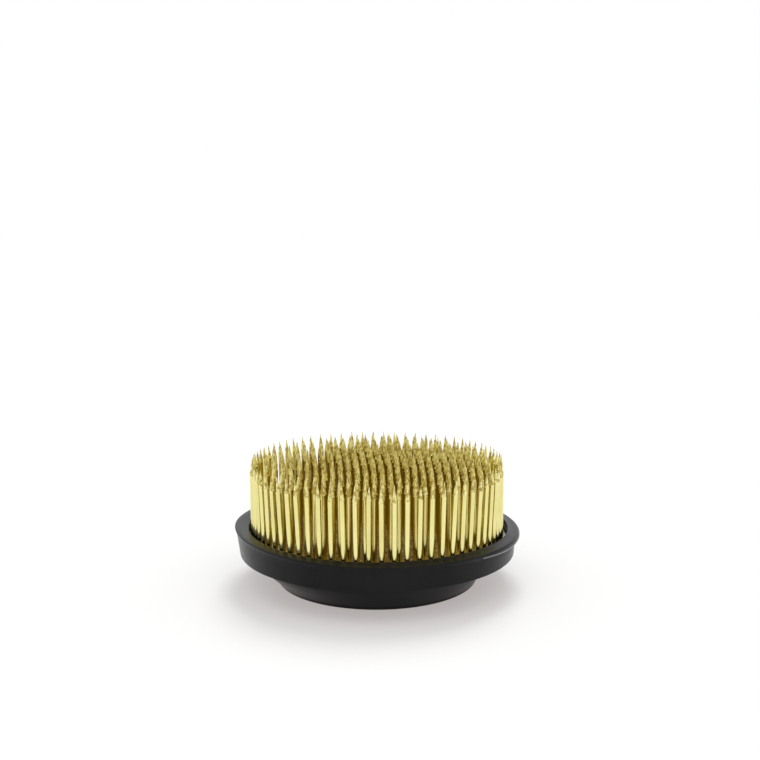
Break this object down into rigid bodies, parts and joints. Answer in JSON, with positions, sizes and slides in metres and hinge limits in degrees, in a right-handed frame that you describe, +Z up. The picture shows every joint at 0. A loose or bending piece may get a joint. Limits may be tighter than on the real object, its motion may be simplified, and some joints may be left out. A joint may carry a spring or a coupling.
{
  "type": "pin flower frog",
  "caption": "Round weighted flower holder: a field of upright pointed brass needles set in a cast weight that sits in a stepped rubber cup.",
  "frame": {"origin": "on the supporting surface, at the centre of the cup's foot, on the axis of the round body", "axes": "+Z up along the needles; +X to the right, across the needle rows, and +Y away from the front, along them"},
  "size_m": [0.0564, 0.0564, 0.0249],
  "materials": {
    "rubber": "moulded satin black",
    "lead": "as cast, dull grey with bright spots",
    "brass": "drawn bright shanks with ground matte points"
  },
  "bodies": {
    "cup": {"rubber_cup": "rubber"},
    "frog": {"weight": "lead", "needle_ring_arc_1": "brass", "needle_ring_arc_2": "brass", "needle_ring_arc_3": "brass", "needle_ring_arc_4": "brass", "needle_ring_arc_5": "brass", "needle_ring_arc_6": "brass", "needle_row_01": "brass", "needle_row_02": "brass", "needle_row_03": "brass", "needle_row_04": "brass", "needle_row_05": "brass", "needle_row_06": "brass", "needle_row_07": "brass", "needle_row_08": "brass", "needle_row_09": "brass", "needle_row_10": "brass", "needle_row_11": "brass", "needle_row_12": "brass", "needle_row_13": "brass", "needle_row_14": "brass", "needle_row_15": "brass", "needle_row_16": "brass", "needle_row_17": "brass", "needle_row_18": "brass", "needle_row_19": "brass", "needle_row_20": "brass", "needle_row_21": "brass", "needle_row_22": "brass", "needle_row_23": "brass", "needle_row_24": "brass", "needle_row_25": "brass", "needle_row_26": "brass", "needle_row_27": "brass", "needle_row_28": "brass"}
  },
  "joints": [
    {"name": "frog_lift", "type": "slide", "parent": "cup", "child": "frog", "axis": [0, 0, 1], "range_m": [0, 0.012]}
  ]
}
